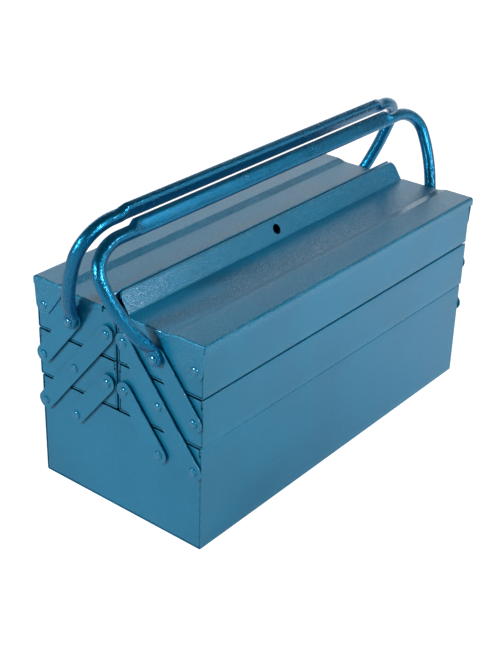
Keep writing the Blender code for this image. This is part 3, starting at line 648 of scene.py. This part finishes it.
def handleStations(side):
    # half a handle: place along the box, distance from the pivot, half width, half depth and squareness
    form = handleForm
    tube, thin, wide = form["tube"] / 2, form["flat"] / 2, form["flatWidth"] / 2
    square, circle, pressed = form["flatSquareness"], form["tubeSquareness"], form["gripSquareness"]
    flatX = halfLength + form["standOff"] + thin
    widest, high = halfLength + form["spread"][side], form["widestRadius"]
    radius = form["gripRadius"][side]
    nose = -np.cos(np.linspace(0, pi / 2, form["noseRows"]))[:-1]
    flat = np.array(form["flatRows"]) * form["flatLength"]
    noseWide, noseThin = wide * np.sqrt(1 - nose ** 2), thin * np.sqrt(1 - nose ** 8)
    parts = [stretch(flatX, wide * nose, noseWide, noseThin, square)]
    parts.append(stretch(flatX, flat, wide, thin, square))

    # the leg is a cubic curve from the flat to the handle's widest place
    t = np.linspace(0, 1, form["legRows"])[:, None]
    out, up = form["slant"]
    a, b = np.array((flatX, form["flatLength"])), np.array((flatX + out, form["flatLength"] + up))
    c, d = np.array((widest, high * form["fullness"])), np.array((widest, high))
    leg = a * (1 - t) ** 3 + 3 * b * t * (1 - t) ** 2 + 3 * c * t ** 2 * (1 - t) + d * t ** 3
    opened = smooth(t[:, 0] / form["opened"])
    parts.append(stretch(leg[:, 0], leg[:, 1], wide + (tube - wide) * opened,
                         thin + (tube - thin) * opened, square - (square - circle) * opened))

    # the bend is a quarter ellipse
    turn = np.linspace(0, pi / 2, form["bendRows"])[1:]
    parts.append(stretch(widest - form["bend"] * (1 - np.cos(turn)), high + (radius - high) * np.sin(turn),
                         tube, tube, circle))

    # then the facet and the pressed grip
    share = np.array(form["facetRows"])
    x = form["gripHalf"] + form["facet"] * (0.5 - share)
    lift = (form["gripHeight"] - form["tube"]) / 2
    thick, tall = form["gripThickness"] / 2, form["gripHeight"] / 2
    parts.append(stretch(x, radius + lift * share, tube + (thick - tube) * share,
                         tube + (tall - tube) * share, circle + (pressed - circle) * share))
    x = np.linspace(x[-1], 0, form["gripRows"])[1:]
    parts.append(stretch(x, radius + lift, thick, tall, pressed))
    return [np.concatenate(rows) for rows in zip(*parts)]


def makeHandle(side):
    # superellipse sections square to a path that lies in the leaning plane through the pivots
    sign = sides[side]
    mirror = (-1, 1, 1, 1, 1)  # the left half is the right one with its place along the box reversed
    x, r, width, depth, power = (np.concatenate([flip * rows, rows[-2::-1]])
                                 for flip, rows in zip(mirror, handleStations(side)))
    pivotY, pivotZ = jointPlace[f"{side}_handle_swing"]
    lean = asin((abs(pivotY) - sign * handleForm["gripPlace"][side]) / handleForm["gripRadius"][side])
    up = np.array((0, -sign * sin(lean), cos(lean)))
    across = np.array((0, cos(lean), sign * sin(lean)))
    run = np.stack([np.gradient(x), np.gradient(r)], -1)
    run /= np.hypot(*run.T)[:, None]
    run[abs(x) < handleForm["gripHalf"] + handleForm["facet"]] = (1, 0)
    inward = np.stack([run[:, 1], np.zeros(len(x)), np.zeros(len(x))], -1) - up * run[:, :1]
    centre = np.array((0, pivotY, pivotZ)) + np.stack([x, 0 * x, 0 * x], -1) + up * r[:, None]
    angle = np.linspace(0, 2 * pi, handleForm["sides"] + 1)
    c, s = np.cos(angle)[None, :], np.sin(angle)[None, :]
    reach = (abs(c) ** power[:, None] + abs(s) ** power[:, None]) ** (-1 / power[:, None])
    points = (centre[:, None, :] + (width[:, None] * reach * c)[..., None] * across
              + (depth[:, None] * reach * s)[..., None] * inward[:, None, :])
    opened = abs(depth - handleForm["flat"] / 2) / handleForm["wornFade"]
    flatEnd = np.clip(1 - opened, 0, 1)[:, None] * abs(c) ** 8
    rubbed = handleForm["wornGrip"] * (abs(x) < handleForm["gripHalf"])[:, None] * abs(s) ** 4
    piece = makePiece(side + "Handle", [patch(points, np.maximum(flatEnd, rubbed))])
    settle(piece, side + "_handle", "handle_blue", enamel["handle"], side + "_handle")


for side in sides:
    makeHandle(side)
print("handles made")


# studio: the sky is brightest low down towards backWay, and shown is what the camera sees of it
studio = {
    "azimuth": radians(-51.99), "elevation": radians(28.13), "roll": radians(1.72), "distance": 1.2851,
    "target": (-0.0268, 0.0, 0.1186), "lens": 71.5, "farthest": 20.0,
    "floorTone": 0.55, "floorGlow": 0.12, "floorFar": 0.60, "floorShown": 0.90, "floorFade": (-0.25, 0.45),
    "floorRoughness": 0.7, "floorHalf": 6.0, "floorDrop": 0.0002,
    "sky": 1.12, "overhead": 0.16, "shown": 1.2, "backWay": (0.78, 0.62, 0.0), "around": 0.22,
    "skyFade": (0.435, 0.48), "aroundFade": (0.50, 0.85), "lampAim": (0.0, 0.0, 0.12),
    "key": {"place": (-1.45, 0.42, 0.80), "size": 0.20, "power": 14.0},
    "fill": {"place": (-0.28, -1.45, 0.95), "size": 0.30, "power": 13.0},
    "strip": {"place": (0.70, -1.10, 0.84), "size": 0.14, "power": 2.0},
}


def makeCamera():  # looks along a direction given by two angles, then rolls about it
    a, e, roll = studio["azimuth"], studio["elevation"], studio["roll"]
    back = Vector((sin(a) * cos(e), -cos(a) * cos(e), sin(e)))
    right = Vector((cos(a), sin(a), 0))
    up = back.cross(right)
    turned = (right * cos(roll) + up * sin(roll), up * cos(roll) - right * sin(roll), back)
    camera = bpy.data.objects.new("camera", bpy.data.cameras.new("camera"))
    camera.data.lens = studio["lens"]
    camera.data.clip_end = studio["farthest"]
    camera.matrix_world = Matrix(turned).transposed().to_4x4()
    camera.location = Vector(studio["target"]) + back * studio["distance"]
    scene.collection.objects.link(camera)
    scene.camera = camera


def seenOrLit(tree, lit, seen):  # one strength for the light given, another for what the camera sees
    toCamera = addNode(tree, "LightPath").outputs["Is Camera Ray"]
    strength = addNode(tree, "Mix", {0: toCamera}, data_type="FLOAT")
    tree.links.new(lit, strength.inputs[2])
    strength.inputs[3].default_value = seen
    return strength.outputs[0]


def makeFloor():  # a pale level sheet that glows more towards the right, and evenly to the camera
    size, level = studio["floorHalf"], -studio["floorDrop"]
    mesh = bpy.data.meshes.new("floor")
    mesh.from_pydata([(-size, -size, level), (size, -size, level), (size, size, level), (-size, size, level)],
                     [], [(0, 1, 2, 3)])
    material = bpy.data.materials.new("paleFloor")
    material.use_nodes = True
    tree = material.node_tree
    shader = tree.nodes["Principled BSDF"]
    shader.inputs["Base Color"].default_value = (*[studio["floorTone"]] * 3, 1)
    shader.inputs["Roughness"].default_value = studio["floorRoughness"]
    shader.inputs["Emission Color"].default_value = (1, 1, 1, 1)
    place = addNode(tree, "SeparateXYZ", {"Vector": addNode(tree, "TexCoord").outputs["Object"]}).outputs["X"]
    glow = spread(tree, place, *studio["floorFade"], studio["floorGlow"], studio["floorFar"])
    tree.links.new(seenOrLit(tree, glow, studio["floorShown"]), shader.inputs["Emission Strength"])
    mesh.materials.append(material)
    floor = bpy.data.objects.new("floor", mesh)
    scene.collection.objects.link(floor)


def makeSky():  # white low down and dimmer overhead, so that level faces are darker than upright ones
    world = bpy.data.worlds.new("studio")
    world.use_nodes = True
    scene.world = world
    tree = world.node_tree
    shader = tree.nodes["Background"]
    way = addNode(tree, "TexCoord").outputs["Generated"]
    height = addNode(tree, "SeparateXYZ", {"Vector": way}).outputs["Z"]
    glow = spread(tree, height, *studio["skyFade"], studio["sky"], studio["overhead"])
    facing = addNode(tree, "VectorMath", {0: way, 1: studio["backWay"]}, operation="DOT_PRODUCT")
    backness = spread(tree, facing.outputs["Value"], *studio["aroundFade"], studio["around"], 1.0)
    shaded = addNode(tree, "Math", {0: glow, 1: backness}, operation="MULTIPLY").outputs[0]
    tree.links.new(seenOrLit(tree, shaded, studio["shown"]), shader.inputs["Strength"])
    shader.inputs["Color"].default_value = (1, 1, 1, 1)


def makeLight(name):  # a round lamp aimed at the middle of the box
    look = studio[name]
    light = bpy.data.lights.new(name, "AREA")
    light.shape = "DISK"
    light.size = look["size"]
    light.energy = look["power"]
    lamp = bpy.data.objects.new(name, light)
    lamp.location = look["place"]
    aim = Vector(studio["lampAim"]) - Vector(look["place"])
    lamp.rotation_euler = aim.to_track_quat("-Z", "Y").to_euler()
    scene.collection.objects.link(lamp)


makeCamera()
makeFloor()
makeSky()
for name in ("key", "fill", "strip"):
    makeLight(name)
scene.view_settings.view_transform = "Standard"
print("studio set")
